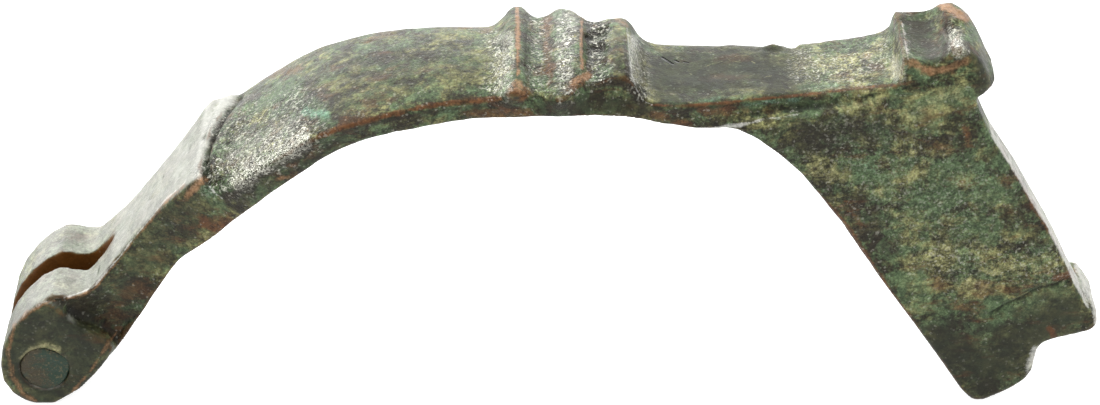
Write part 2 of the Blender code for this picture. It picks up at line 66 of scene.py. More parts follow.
# What the surface marks are drawn with. Each stroke follows points in the
# photograph's pixels and has a half width in pixels and a strength.
STROKES = {
    "bronze": [
        ([(517, 8), (518, 40), (518, 74)], 3.2, 1.0),
        ([(517, 82), (520, 93)], 7.0, 0.8),
        ([(582, 20), (581, 45), (582, 68)], 2.6, 0.9),
        ([(572, 84), (582, 77), (588, 76)], 5.5, 0.9),
        ([(617, 20), (626, 26)], 4.0, 0.7),
        ([(901, 22), (905, 40), (908, 60)], 2.0, 0.7),
        ([(939, 4), (948, 7), (967, 18)], 5.5, 1.0),
        ([(912, 63), (925, 70), (945, 70), (966, 62)], 7.0, 0.85),
        ([(186, 196), (198, 184), (205, 179)], 5.5, 0.9),
        ([(62, 300), (82, 294), (93, 289), (101, 280), (118, 261), (133, 241)], 2.4, 0.8),
        ([(133, 241), (150, 221), (166, 201), (186, 184)], 2.6, 0.8),
        ([(58, 297), (30, 311), (14, 326), (8, 350)], 3.4, 0.8),
        ([(8, 352), (12, 376), (24, 394), (36, 401)], 4.0, 0.75),
        ([(70, 394), (90, 372), (104, 350), (116, 332)], 3.0, 0.75),
        ([(276, 179), (290, 176)], 3.5, 0.8),
    ],
    "brown": [
        ([(318, 137), (340, 128), (370, 120), (400, 112), (440, 104), (470, 101), (500, 98)], 2.8, 0.95),
        ([(650, 105), (680, 106), (720, 103), (780, 97), (820, 93), (860, 88), (906, 84)], 1.6, 0.9),
        ([(547, 16), (547, 50), (550, 82)], 6.0, 0.75),
        ([(510, 90), (526, 94)], 7.0, 0.8),
        ([(570, 86), (588, 78)], 7.0, 0.7),
        ([(470, 114), (530, 113)], 4.0, 0.7),
        ([(655, 115), (690, 124)], 5.0, 0.7),
        ([(700, 110), (770, 110)], 6.0, 0.6),
        ([(206, 222), (230, 226)], 9.0, 0.9),
        ([(288, 166), (312, 158)], 4.0, 0.6),
        ([(272, 72), (300, 70)], 7.0, 0.6),
        ([(308, 90), (326, 98)], 11.0, 0.45),
        ([(362, 90), (372, 84)], 7.0, 0.5),
        ([(340, 118), (372, 108)], 6.0, 0.5),
        ([(868, 60), (884, 74)], 9.0, 0.65),
        ([(668, 76), (700, 74), (770, 72)], 26.0, 0.30),
        ([(945, 298), (965, 306), (985, 312)], 12.0, 0.5),
        ([(925, 268), (945, 290)], 9.0, 0.5),
        ([(985, 282), (1020, 290), (1050, 272)], 9.0, 0.45),
        ([(925, 120), (965, 108)], 10.0, 0.40),
        ([(965, 127), (969, 143)], 5.0, 0.8),
        ([(1051, 330), (1053, 336)], 4.0, 1.0),
        ([(1056, 279), (1072, 275)], 5.0, 1.0),
        ([(1000, 145), (1036, 210), (1066, 258)], 2.2, 0.8),
        ([(803, 180), (843, 220), (903, 310), (963, 393)], 2.4, 0.9),
        ([(846, 208), (862, 226)], 7.0, 0.5),
        ([(120, 300), (160, 245), (195, 210)], 24.0, 0.45),
        ([(34, 360), (40, 375)], 7.0, 0.6),
        ([(1000, 180), (1012, 190)], 7.0, 0.5),
    ],
    "green": [
        ([(307, 112), (326, 115)], 6.0, 1.0),
        ([(205, 186), (218, 200)], 8.0, 0.6),
        ([(330, 143), (315, 150)], 6.0, 0.5),
        ([(270, 92), (290, 88)], 12.0, 0.4),
        ([(470, 108), (440, 112)], 5.0, 0.5),
        ([(860, 168), (900, 172)], 14.0, 0.5),
        ([(930, 190), (990, 180)], 24.0, 0.45),
        ([(925, 215), (985, 222)], 18.0, 0.40),
        ([(990, 305), (1035, 305), (1070, 295)], 12.0, 0.35),
        ([(944, 116), (930, 128)], 9.0, 0.25),
        ([(700, 102), (720, 98)], 3.5, 0.6),
        ([(745, 105), (800, 100)], 4.0, 0.6),
        ([(800, 88), (850, 84)], 4.0, 0.6),
        ([(908, 70), (916, 76)], 5.0, 0.6),
        ([(916, 26), (930, 46)], 13.0, 0.35),
    ],
    "pale": [
        ([(812, 166), (842, 176)], 13.0, 0.60),
        ([(842, 107), (866, 102), (878, 98)], 6.0, 0.60),
        ([(912, 114), (935, 102), (958, 94)], 12.0, 0.62),
        ([(875, 196), (905, 178), (945, 152)], 7.0, 0.5),
        ([(800, 64), (830, 68), (852, 66)], 16.0, 0.60),
        ([(876, 52), (884, 40)], 10.0, 0.70),
        ([(894, 60), (899, 76)], 6.0, 0.9),
        ([(910, 250), (950, 266), (1000, 256)], 20.0, 0.40),
        ([(1000, 270), (1060, 266)], 13.0, 0.50),
        ([(908, 262), (918, 296)], 14.0, 0.40),
        ([(960, 282), (1000, 286)], 12.0, 0.5),
        ([(446, 34), (478, 34)], 9.0, 0.35),
        ([(450, 80), (480, 84)], 8.0, 0.35),
        ([(486, 45), (500, 60), (494, 84)], 10.0, 0.5),
        ([(326, 84), (352, 92), (400, 88)], 7.0, 0.25),
        ([(355, 70), (362, 112)], 7.0, 0.30),
        ([(640, 62), (648, 98)], 6.0, 0.5),
        ([(298, 68), (312, 70)], 8.0, 0.4),
        ([(22, 358), (30, 349), (46, 345), (58, 350)], 3.6, 1.0),
        ([(62, 358), (66, 368), (62, 378)], 2.0, 0.55),
    ],
    # Dark patina and pits, with painted shade in valleys, recesses and along shaded sides
    "dark_and_shade": [
        ([(590, 36), (600, 33)], 4.0, 1.0),
        ([(603, 31), (608, 28)], 3.6, 1.0),
        ([(598, 48), (604, 49)], 4.0, 1.0),
        ([(501, 47), (504, 46)], 3.0, 1.0),
        ([(588, 24), (588, 50), (590, 76)], 2.6, 0.8),
        ([(600, 34), (602, 76)], 9.0, 0.50),
        ([(244, 128), (300, 96)], 20.0, 0.30),
        ([(330, 66), (410, 56)], 18.0, 0.20),
        ([(525, 14), (525, 50), (528, 80)], 4.0, 0.7),
        ([(625, 40), (627, 70), (633, 86)], 2.4, 0.8),
        ([(946, 24), (948, 38), (945, 50)], 6.0, 1.0),
        ([(914, 30), (932, 50)], 15.0, 0.85),
        ([(20, 366), (23, 379), (34, 388), (46, 389)], 2.4, 0.9),
        ([(66, 243), (80, 237)], 9.0, 0.5),
        ([(226, 199), (242, 188), (260, 176), (280, 164), (297, 152), (312, 145)], 6.0, 1.0),
        ([(238, 206), (270, 188), (306, 162), (345, 142)], 9.0, 0.50),
        ([(345, 142), (400, 124), (480, 110)], 6.0, 0.40),
        ([(340, 133), (370, 125), (400, 117), (440, 111), (500, 104)], 3.0, 0.8),
        ([(228, 112), (214, 134), (209, 155), (208, 170)], 3.6, 0.75),
        ([(500, 104), (560, 108), (630, 104)], 9.0, 0.6),
        ([(586, 86), (612, 83), (630, 86), (642, 104)], 6.0, 1.0),
        ([(668, 112), (720, 107), (780, 102), (824, 98)], 2.5, 0.8),
        ([(1044, 227), (1044, 229)], 3.0, 1.0),
        ([(868, 222), (886, 250)], 20.0, 0.6),
        ([(790, 140), (850, 134), (900, 128)], 18.0, 0.38),
        ([(935, 340), (965, 322)], 14.0, 0.5),
        ([(955, 365), (985, 380), (1005, 360)], 20.0, 0.35),
        ([(1000, 165), (1040, 230)], 9.0, 0.4),
        ([(240, 100), (262, 96)], 10.0, 0.4),
    ],
    "grain": [
        ([(218, 172), (235, 174), (262, 158), (302, 132)], 18.0, 1.0),
        ([(232, 140), (262, 122), (300, 108)], 22.0, 0.6),
        ([(496, 44), (503, 60), (498, 86)], 12.0, 1.0),
        ([(566, 22), (566, 90)], 11.0, 1.0),
        ([(538, 24), (540, 84)], 12.0, 0.6),
        ([(598, 26), (598, 76)], 11.0, 0.9),
        ([(636, 44), (642, 96)], 8.0, 0.8),
        ([(808, 66), (860, 68), (888, 52)], 18.0, 0.6),
        ([(954, 28), (958, 50)], 7.0, 1.0),
        ([(850, 150), (960, 220)], 50.0, 0.2),
        ([(940, 262), (1050, 262)], 18.0, 0.4),
    ],
    # Shining places: glossier, with a painted sheen and painted glints
    "shine": [
        ([(238, 179), (262, 164), (302, 139)], 9.0, 1.0),
        ([(236, 160), (262, 146), (290, 132)], 14.0, 0.5),
        ([(506, 40), (504, 86)], 8.0, 0.6),
        ([(566, 20), (565, 86)], 8.0, 0.45),
        ([(632, 40), (637, 80)], 4.0, 0.8),
        ([(896, 62), (899, 78)], 5.0, 0.9),
        ([(953, 36), (959, 52)], 6.0, 1.0),
    ],
    # Painted highlights on edges and faces that catch the light
    "lit": [
        ([(209, 186), (216, 194), (223, 199)], 1.4, 1.0),
        ([(64, 298), (82, 292), (93, 287), (101, 278), (118, 259), (133, 239)], 1.4, 0.9),
        ([(133, 239), (150, 219), (166, 199), (186, 182)], 1.1, 0.8),
        ([(706, 129), (742, 125), (762, 120)], 2.6, 0.85),
        ([(762, 120), (800, 114)], 1.5, 0.65),
        ([(58, 298), (42, 303), (28, 312), (18, 322)], 1.7, 0.6),
        ([(10, 343), (8, 358)], 1.7, 0.5),
        ([(187, 191), (197, 184)], 2.6, 0.5),
        ([(627, 28), (629, 50), (632, 76), (637, 90), (645, 102), (652, 105)], 1.2, 0.75),
        ([(903, 24), (906, 44), (909, 60)], 1.7, 0.8),
        ([(984, 100), (1030, 180), (1077, 266)], 3.6, 1.0),
        ([(1079, 272), (1092, 292), (1097, 322)], 4.0, 0.9),
        ([(1027, 374), (1033, 354), (1040, 347)], 5.0, 0.8),
    ],
    "calm": [
        ([(28, 328), (58, 325), (88, 345), (76, 372), (40, 388), (22, 360), (28, 328)], 24.0, 1.0),
        ([(95, 300), (120, 300), (140, 255), (190, 205)], 24.0, 0.55),
        ([(662, 76), (740, 70), (786, 72)], 27.0, 1.0),
        ([(918, 28), (930, 50)], 14.0, 0.6),
        ([(980, 60), (984, 84)], 9.0, 0.9),
        ([(945, 345), (985, 370), (1010, 350), (1060, 315)], 24.0, 1.0),
        ([(800, 135), (870, 128)], 18.0, 0.5),
        ([(560, 106), (640, 108)], 12.0, 0.6),
        ([(614, 34), (620, 70)], 6.0, 0.5),
        ([(320, 100), (400, 70), (480, 60)], 30.0, 0.35),
        ([(225, 200), (300, 165), (340, 140)], 9.0, 0.5),
    ],
}

# Relief cut into or raised on the surface: points, half width in pixels and
# height in millimetres along the surface's normal
RELIEF = [
    ([(590, 36), (600, 33)], 4.0, -0.14),
    ([(603, 31), (608, 28)], 3.5, -0.14),
    ([(598, 48), (604, 49)], 4.0, -0.12),
    ([(501, 47), (504, 46)], 3.0, -0.10),
    ([(922, 24), (928, 34), (930, 48)], 15.0, -0.22),
    ([(946, 26), (950, 34)], 5.0, -0.22),
    ([(956, 40), (958, 50)], 5.0, 0.12),
    ([(950, 8), (962, 18)], 6.0, 0.10),
    ([(912, 66), (938, 71), (966, 64)], 5.0, -0.12),
    ([(239, 97), (226, 112), (214, 134), (207, 150), (206, 164), (209, 184)], 3.0, -0.22),
    ([(247, 104), (234, 118), (222, 140), (215, 156), (214, 168), (217, 182)], 6.0, 0.10),
    ([(862, 98), (905, 89), (955, 73)], 1.6, -0.07),
    ([(992, 314), (1008, 304), (1027, 295), (1036, 289), (1055, 285), (1070, 277)], 2.0, -0.10),
    ([(1010, 296), (1036, 280), (1062, 270)], 9.0, 0.08),
    ([(1044, 227), (1044, 229)], 2.2, -0.12),
    ([(875, 250), (860, 235)], 20.0, -0.06),
]

# The dish worn into the knob: points and half width in pixels, and how many
# times it is smoothed
DISH_PATH = [(918, 28), (930, 50)]
DISH_HALF_WIDTH = 15.0
DISH_ROUNDS = 24

# Knocks on edges: the middle and reach in millimetres and how the metal moved
KNOCKS = [
    ((10.10, 2.10, 16.45), 0.55, (0.00, 0.05, 0.16)),
    ((10.95, 2.20, 16.45), 0.40, (0.00, -0.26, -0.16)),
]

# Scratches on the foot's flat top, darkened by painted shade in their grooves: two pixels and a half
# width in millimetres
SCRATCHES = [
    ((662.5, 56.5), (672.5, 62.5), 0.085),
    ((675.0, 59.0), (678.5, 60.5), 0.070),
    ((684.0, 60.5), (688.5, 61.5), 0.055),
]

# Pale scratches and specks on the same top, with painted glints, stated in the same way
GLINTS = [
    ((704.0, 66.0), (712.0, 63.0), 0.045),
    ((712.0, 63.0), (722.0, 61.0), 0.040),
    ((726.0, 61.0), (738.0, 56.0), 0.040),
    ((729.0, 61.0), (741.0, 63.0), 0.035),
    ((688.0, 68.0), (691.0, 73.0), 0.050),
    ((752.0, 63.0), (757.0, 66.0), 0.055),
    ((729.0, 90.0), (731.0, 90.0), 0.060),
    ((766.0, 78.5), (773.0, 77.5), 0.055),
]

# Height of the foot's flat top in millimetres
FOOT_TOP = 16.27

# The leg's side is sunk above a line of pixels where the near lug begins: a
# point on the line, the way up from it, and how deep in millimetres
SINK_START = (52.0, 306.0)
SINK_UP = (0.52, -0.854)
SINK_DEPTH = 0.30

# Here and below a fade is a pair: where a mask is 0 and where it is 1. The
# sunk side fades by pixels above its line, pixel columns, millimetres across,
# and how far the surface faces the near side.
SINK_EDGE = (0.0, 2.5)
SINK_REACH = (58.0, 17.4)
SINK_COLUMNS = (180.0, 120.0)
SINK_ACROSS = (-1.5, -2.5)
SINK_TURN = (0.35, 0.75)

# Colours of the patina in linear light
# Brown-black is dark patina, and also the painted shade of the drawn dark marks
BROWN_BLACK = (0.019, 0.015, 0.009)
DARK_OLIVE = (0.020, 0.019, 0.009)
OLIVE = (0.050, 0.049, 0.021)
YELLOW_GREEN = (0.158, 0.156, 0.064)
LEAF_GREEN = (0.062, 0.098, 0.046)
TURQUOISE = (0.078, 0.155, 0.102)
RUSSET = (0.074, 0.031, 0.012)
PALE_CRUST = (0.185, 0.172, 0.090)
CALM_GREY = (0.011, 0.0145, 0.010)
# Smooth grey metal brightened by a painted sheen, for the head's flat top
HEAD_SHEEN_GREY = (0.245, 0.247, 0.220)
SLOT_ORANGE = (0.080, 0.030, 0.005)
# Near black, painted as shade in hollows, pores, between crumbs and in scratches
SHADE_BLACK = (0.004, 0.0035, 0.002)
# Near white, painted as sheen and glints
GLINT_WHITE = (0.520, 0.515, 0.440)
BARE_BROWN = (0.075, 0.033, 0.012)
BARE_BRONZE = (0.245, 0.145, 0.078)
# Pale grey, painted as highlights
HIGHLIGHT_GREY = (0.450, 0.445, 0.415)
ROD_BROWN = (0.034, 0.027, 0.014)
ROD_GREEN = (0.014, 0.030, 0.019)
ROD_CRUMB = (0.110, 0.090, 0.050)

# Corrosion swells the hinge rod until it fills its holes and meets their walls
ROD_SWELL = 1.17
ROD_SWELL_UNEVEN = 0.10

# Patterns of noise on the surface: waves per millimetre, and an offset that
# keeps one pattern apart from another
BROAD_PATTERN = (0.45, 3.1)
NARROW_PATTERN = (1.3, 7.7)
CRUMB_PATTERN = (3.4, 11.3)
CLOD_PATTERN = (2.0, 5.9)
PIT_PATTERN = (1.9, 21.0)
RELIEF_PATTERN = (2.5, 17.0)
STROKE_PATTERN = (2.1, 31.0)
STROKE_FINE_PATTERN = (5.0, 37.0)
ROD_LUMP_PATTERN = (1.1, 2.0)
ROD_CRUMB_PATTERN = (3.0, 9.0)
ROD_OUTLINE_PATTERN = (1.1, 4.0)

# How far the patterns move the surface, in millimetres
BROAD_HEIGHT = 0.035
NARROW_HEIGHT = 0.018
CRUMB_HEIGHT = 0.004
GRAIN_HEIGHT = 0.011
PIT_DEPTH = 0.04
WORN_OFF = 0.02
ROD_LUMP_HEIGHT = 0.08
ROD_CRUMB_HEIGHT = 0.03

# Clods count less than crumbs, and only the peaks of a pattern make pits
CLOD_SHARE = 0.8
PIT_FADE = (0.45, 0.75)

# A stroke ends at this many half widths, and noise makes its border ragged
STROKE_REACH = 1.7
STROKE_RAGGED = 0.35
STROKE_FINE_RAGGED = 0.2
RELIEF_RAGGED = 0.2

# How many times places are smoothed: the fresh casting and rod, the calm
# places, and the surroundings that a rim stands proud of
CASTING_ROUNDS = 1
ROD_ROUNDS = 3
CALM_ROUNDS = 6
BULGE_ROUNDS = 9

# How far a rim stands proud and a hollow lies back, in millimetres
RIM_FADE = (0.020, 0.050)
HOLLOW_FADE = (0.012, 0.050)

# How far the surface turns to the photograph's camera
FACING_FADE = (-0.02, 0.18)

# How strong the painted shade on the sunk side is, and how dark and calm what the photograph hides is
SUNK_SHADE = 0.85
HIDDEN_DARKNESS = 0.25
HIDDEN_CALM = 0.55

# The catchplate's end face, lightened by a painted highlight: its turn to +X, along and up in
# millimetres
END_FACE_TURN = (0.55, 0.80)
END_FACE_ALONG = (18.4, 18.8)
END_FACE_UP = (14.6, 14.2)
END_FACE_HIGHLIGHT = 0.8

# The slot's walls: across and along in millimetres, and the turn to +Z or -Z
SLOT_ACROSS = (0.72, 0.64)
SLOT_ALONG = (-19.75, -20.0)
SLOT_FLAT = (0.30, 0.75)

# Where the head's flat top ends at the rounded start of the bow, in pixels
PLATE_END = [(246, 84), (239, 97), (226, 112), (214, 134), (207, 150), (206, 164), (206, 190)]

# The head's flat top, smooth grey metal brightened by a painted sheen: its turn to +Z,
# pixels past its end, and along the lugs in millimetres, where the sheen is darker. The
# ledge where a lug joins the leg, stated by its place along and up, has none of it.
TOP_TURN = (0.35, 0.8)
PLATE_END_FADE = (2.0, -2.0)
LUG_TOP_ALONG = (-19.6, -21.2)
LUG_TOP_DARKER = 0.38
LEDGE_ALONG = (-22.6, -22.2)
LEDGE_UP = (4.9, 4.4)

# The crust on the catchplate runs in bands that slant up towards the knob, from
# noise that is turned and stretched along, across and up
BAND_SLANT = 0.42
BAND_STRETCH = (0.34, 0.7, 0.95)

# Noise in the colours: waves per millimetre, detail, roughness and distortion
BROAD_NOISE = (0.35, 4.0, 0.55, 0.5)
BAND_NOISE = (1.3, 8.0, 0.66, 0.5)
MEDIUM_NOISE = (1.5, 8.0, 0.68, 0.3)
GRIT_NOISE = (4.6, 5.0, 0.70, 0.0)
FINE_NOISE = (9.5, 3.0, 0.65, 0.0)
MOTTLE_NOISE = (2.7, 5.0, 0.62, 0.4)
SAND_NOISE = (15.0, 2.0, 0.6, 0.0)
VERDIGRIS_NOISE = (0.9, 8.0, 0.68, 0.6)
RUSSET_NOISE = (1.1, 8.0, 0.70, 0.2)
ROD_NOISE = (1.1, 6.0, 0.75, 1.2)
ROD_FINE_NOISE = (8.0, 3.0, 0.6, 0.0)

# Rounded crumbs: how many there are in a millimetre, and their domes' fade
CRUMBS_PER_MM = 10.5
CRUMB_DOME = (0.75, 0.05)

# A stored mask's border: how far noise tears it, and its two fades
MASK_TORN = 0.40
MASK_TORN_FADE = (0.40, 1.00)
MASK_FADE = (0.10, 0.50)

# How much of the patina below each layer covers
COVER = {
    "calm": 0.60,
    "dark_and_shade": 0.85,
    "pale": 0.65,
    "green": 0.75,
    "brown": 0.85,
    "hollow_shade": 0.70,
    "rim": 0.45,
    "lit": 0.75,
    "painted_sheen": 0.70,
}

# A scratch is full within this share of its half width
SCRATCH_CORE = 0.4

# Depth of the relief that is only in the material, in metres
MEDIUM_BUMP = 0.00012
GRIT_BUMP = 0.00014
CRUMB_BUMP = 0.00007
SCRATCH_BUMP = 0.00045
ROD_BUMP = 0.00006

# Gloss of the patina
GRIT_ROUGHNESS = (0.34, 0.52)
GRAIN_ROUGHNESS = 0.28
SHINE_ROUGHNESS = 0.24
PATINA_SPECULAR = 0.13
ROD_ROUGHNESS = (0.40, 0.65)
ROD_SPECULAR = 0.20

# The rod's two colours meet over this many millimetres to each side of its
# middle, by a noise that is raised on one side and lowered on the other
ROD_SPLIT = 0.8
ROD_SPLIT_SHIFT = 0.10

# The pale floor shines from within like a light table, and its size is in metres
FLOOR_HALF_SIZE = 3.0
FLOOR_GREY = 0.42
FLOOR_GLOW = 0.82
FLOOR_ROUGHNESS = 0.9
FLOOR_SPECULAR = 0.1
WORLD_GLOW = 0.20

# Soft lights: name, place, width and height in metres, and radiance
SOFTBOXES = [
    ("overhead_softbox", (0.05, 0.04, 0.50), 1.10, 0.90, 2.8),
    ("back_softbox", (-0.20, 0.70, 0.15), 1.60, 0.30, 6.5),
    ("left_softbox", (-0.42, 0.02, 0.50), 0.26, 0.30, 16.0),
    ("right_softbox", (0.60, -0.05, 0.12), 0.30, 0.24, 4.5),
    ("front_softbox", (0.00, -0.55, 0.30), 0.90, 0.35, 1.1),
]


def smooth_step(fade, values):
    share = np.clip((values - fade[0]) / (fade[1] - fade[0]), 0.0, 1.0)
    return share * share * (3.0 - 2.0 * share)


def noise_at(points, pattern):
    """Smooth noise from -1 to 1 at points in millimetres."""
    per_mm, offset = pattern
    moved = points * per_mm + offset
    return np.array([noise.noise(point) for point in moved])


def photo_pixels(points_mm):
    """Where points in millimetres show in the photograph."""
    forward = np.array((0.0, math.cos(CAMERA_ELEVATION), -math.sin(CAMERA_ELEVATION)))
    upward = np.array((0.0, math.sin(CAMERA_ELEVATION), math.cos(CAMERA_ELEVATION)))
    away = points_mm * MM - np.array(CAMERA_PLACE)
    depth = away @ forward
    across = 0.5 * PHOTO_WIDTH + FOCAL_PIXELS * away[:, 0] / depth
    down = 0.5 * PHOTO_HEIGHT - FOCAL_PIXELS * (away @ upward) / depth
    return np.stack((across, down), axis=1)


def spot_on_foot(pixel):
    """Where a pixel of the photograph meets the foot's flat top, in millimetres."""
    right = (pixel[0] - 0.5 * PHOTO_WIDTH) / FOCAL_PIXELS
    down = (pixel[1] - 0.5 * PHOTO_HEIGHT) / FOCAL_PIXELS
    away = math.cos(CAMERA_ELEVATION) - down * math.sin(CAMERA_ELEVATION)
    fall = math.sin(CAMERA_ELEVATION) + down * math.cos(CAMERA_ELEVATION)
    reach = (CAMERA_PLACE.z - FOOT_TOP * MM) / fall
    spot = CAMERA_PLACE + reach * Vector((right, away, -fall))
    return spot.xy / MM


def distance_to_path(pixels, path):
    nearest = np.full(len(pixels), 1.0e9)
    for start, end in zip(path, path[1:]):
        start = np.array(start, float)
        run = np.array(end, float) - start
        share = np.clip((pixels - start) @ run / (run @ run), 0.0, 1.0)
        nearest = np.minimum(nearest, np.linalg.norm(pixels - start - share[:, None] * run, axis=1))
    return nearest


def stroke_weight(pixels, path, half_width, ragged):
    """1 on the path, fading to 0 past its half width, with a ragged border."""
    reach = distance_to_path(pixels, path) / (STROKE_REACH * half_width) + ragged
    reach = np.clip(reach, 0.0, 1.0)
    return (1.0 - reach * reach) ** 2


class Skin:
    """A worn piece's points as numpy arrays, in millimetres."""

    def __init__(self, mesh):
        self.mesh = mesh
        self.count = len(mesh.vertices)
        flat = np.empty(self.count * 3)
        mesh.vertices.foreach_get("co", flat)
        self.points = flat.reshape(-1, 3)
        edges = np.empty(len(mesh.edges) * 2, dtype=np.int64)
        mesh.edges.foreach_get("vertices", edges)
        self.edges = edges.reshape(-1, 2)
        self.degree = np.bincount(self.edges.ravel(), minlength=self.count).astype(float)
        self.refresh()

    def refresh(self):
        self.mesh.vertices.foreach_set("co", self.points.ravel())
        self.mesh.update()
        flat = np.empty(self.count * 3)
        self.mesh.vertices.foreach_get("normal", flat)
        self.normals = flat.reshape(-1, 3)

    def spread(self, values):
        """Mean of each point's neighbours."""
        first = self.edges[:, 0]
        second = self.edges[:, 1]
        columns = values.reshape(self.count, -1)
        result = np.empty_like(columns)
        for index in range(columns.shape[1]):
            column = columns[:, index]
            total = np.bincount(first, weights=column[second], minlength=self.count)
            total += np.bincount(second, weights=column[first], minlength=self.count)
            result[:, index] = total / self.degree
        return result.reshape(values.shape)

    def smoothed(self, values, rounds):
        for _ in range(rounds):
            values = 0.5 * values + 0.5 * self.spread(values)
        return values

    def push(self, distance):
        self.points = self.points + self.normals * distance[:, None]
        self.refresh()

    def bulge(self, rounds):
        """How far each point stands proud of its smoothed surroundings."""
        away = self.points - self.smoothed(self.points, rounds)
        return np.einsum("ij,ij->i", away, self.normals)

    def store(self, name, values):
        layer = self.mesh.attributes.new(name, "FLOAT", "POINT")
        layer.data.foreach_set("value", np.clip(values, 0.0, 1.0).astype(np.float32))


def copy_in_mm(node, name):
    """A copy of one of the part's solids in millimetres."""
    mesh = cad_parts[node].data.copy()
    mesh.name = name
    mesh.materials.clear()
    for vertex in mesh.vertices:
        vertex.co = vertex.co / MM
    item = bpy.data.objects.new(name, mesh)
    bpy.context.scene.collection.objects.link(item)
    return item


def apply_modifiers(item):
    graph = bpy.context.evaluated_depsgraph_get()
    result = bpy.data.meshes.new_from_object(item.evaluated_get(graph))
    item.modifiers.clear()
    old = item.data
    item.data = result
    bpy.data.meshes.remove(old)


def remesh(item, grid):
    weld = item.modifiers.new("weld", "WELD")
    weld.merge_threshold = WELD
    voxels = item.modifiers.new("voxels", "REMESH")
    voxels.mode = "VOXEL"
    voxels.voxel_size = grid
    voxels.use_smooth_shade = True
    apply_modifiers(item)


def facing_photo(skin):
    """0 on what faces away from the photograph's camera, 1 on what faces it."""
    toward = np.array(CAMERA_PLACE) / MM - skin.points
    toward /= np.linalg.norm(toward, axis=1)[:, None]
    return smooth_step(FACING_FADE, np.einsum("ij,ij->i", toward, skin.normals))


def sunk_side(skin, pixels, seen):
    """Where the leg's near side is sunk behind the lug."""
    above = (pixels - np.array(SINK_START)) @ np.array(SINK_UP)
    sunk = smooth_step(SINK_EDGE, above) * smooth_step(SINK_REACH, above)
    sunk *= smooth_step(SINK_COLUMNS, pixels[:, 0]) * smooth_step(SINK_ACROSS, skin.points[:, 1])
    return sunk * seen * smooth_step(SINK_TURN, -skin.normals[:, 1])


def smooth_where(skin, weights, rounds):
    """Smooth the surface as far as the weights say."""
    smooth = skin.smoothed(skin.points, rounds)
    skin.points = skin.points + weights[:, None] * (smooth - skin.points)


def add_relief(skin, low, high):
    """Worn, pitted and marked surface, kept inside the solid's box."""
    pixels = photo_pixels(skin.points)
    seen = facing_photo(skin)
    wobble = BROAD_HEIGHT * noise_at(skin.points, BROAD_PATTERN)
    wobble += NARROW_HEIGHT * noise_at(skin.points, NARROW_PATTERN)
    grain = sum_strokes(skin, pixels, seen, "grain")
    crumbs = noise_at(skin.points, CRUMB_PATTERN) + CLOD_SHARE * noise_at(skin.points, CLOD_PATTERN)
    pits = smooth_step(PIT_FADE, noise_at(skin.points, PIT_PATTERN))
    change = wobble + (CRUMB_HEIGHT + GRAIN_HEIGHT * grain) * crumbs - PIT_DEPTH * pits
    ragged = RELIEF_RAGGED * noise_at(skin.points, RELIEF_PATTERN)
    for path, half_width, height in RELIEF:
        change += height * seen * stroke_weight(pixels, path, half_width, ragged)
    change -= SINK_DEPTH * sunk_side(skin, pixels, seen)
    skin.push(change - WORN_OFF)
    smooth_where(skin, sum_strokes(skin, pixels, seen, "calm"), CALM_ROUNDS)
    dish = seen * stroke_weight(pixels, DISH_PATH, DISH_HALF_WIDTH, 0.0)
    smooth_where(skin, dish, DISH_ROUNDS)
    skin.refresh()
    for middle, reach, move in KNOCKS:
        away = np.linalg.norm(skin.points - np.array(middle), axis=1)
        skin.points = skin.points + smooth_step((reach, 0.0), away)[:, None] * np.array(move)
    skin.points = np.clip(skin.points, low, high)
    skin.refresh()


def sum_strokes(skin, pixels, seen, kind):
    """The strongest stroke of one kind at each point that the photograph shows."""
    ragged = STROKE_RAGGED * noise_at(skin.points, STROKE_PATTERN)
    ragged += STROKE_FINE_RAGGED * noise_at(skin.points, STROKE_FINE_PATTERN)
    total = np.zeros(skin.count)
    for path, half_width, strength in STROKES[kind]:
        total = np.maximum(total, strength * stroke_weight(pixels, path, half_width, ragged))
    return total * seen


def store_strokes(skin, pixels, seen):
    """Store the drawn marks, joined by what follows from the surface's form."""
    painted = {kind: sum_strokes(skin, pixels, seen, kind) for kind in STROKES}
    hidden = 1.0 - seen
    # Painted shade on the sunk side behind the lug
    painted["dark_and_shade"] = np.maximum(painted["dark_and_shade"], SUNK_SHADE * sunk_side(skin, pixels, seen))
    painted["dark_and_shade"] = np.maximum(painted["dark_and_shade"], HIDDEN_DARKNESS * hidden)
    painted["calm"] = np.maximum(painted["calm"], HIDDEN_CALM * hidden)
    # A painted highlight on the catchplate's end face
    end_face = smooth_step(END_FACE_TURN, skin.normals[:, 0])
    end_face *= smooth_step(END_FACE_ALONG, skin.points[:, 0])
    end_face *= smooth_step(END_FACE_UP, skin.points[:, 2])
    painted["lit"] = np.maximum(painted["lit"], END_FACE_HIGHLIGHT * end_face)
    for kind, weights in painted.items():
        skin.store(kind, weights)


def store_head(skin, pixels, hollow_shade):
    """Store where the slot's walls are and where the head's flat top gets its painted sheen."""
    inside_slot = smooth_step(SLOT_ACROSS, np.abs(skin.points[:, 1]))
    inside_slot *= smooth_step(SLOT_ALONG, skin.points[:, 0])
    inside_slot *= 1.0 - smooth_step(SLOT_FLAT, np.abs(skin.normals[:, 2]))
    skin.store("slot_wall", inside_slot)
    columns, rows = zip(*PLATE_END)
    plate_end = np.interp(pixels[:, 1], rows, columns)
    head_top_sheen = smooth_step(TOP_TURN, skin.normals[:, 2])
    head_top_sheen *= smooth_step(PLATE_END_FADE, pixels[:, 0] - plate_end)
    head_top_sheen *= 1.0 - LUG_TOP_DARKER * smooth_step(LUG_TOP_ALONG, skin.points[:, 0])
    ledge = smooth_step(LEDGE_ALONG, skin.points[:, 0]) * smooth_step(LEDGE_UP, skin.points[:, 2])
    skin.store("head_top_sheen", head_top_sheen * (1.0 - ledge) * (1.0 - hollow_shade))


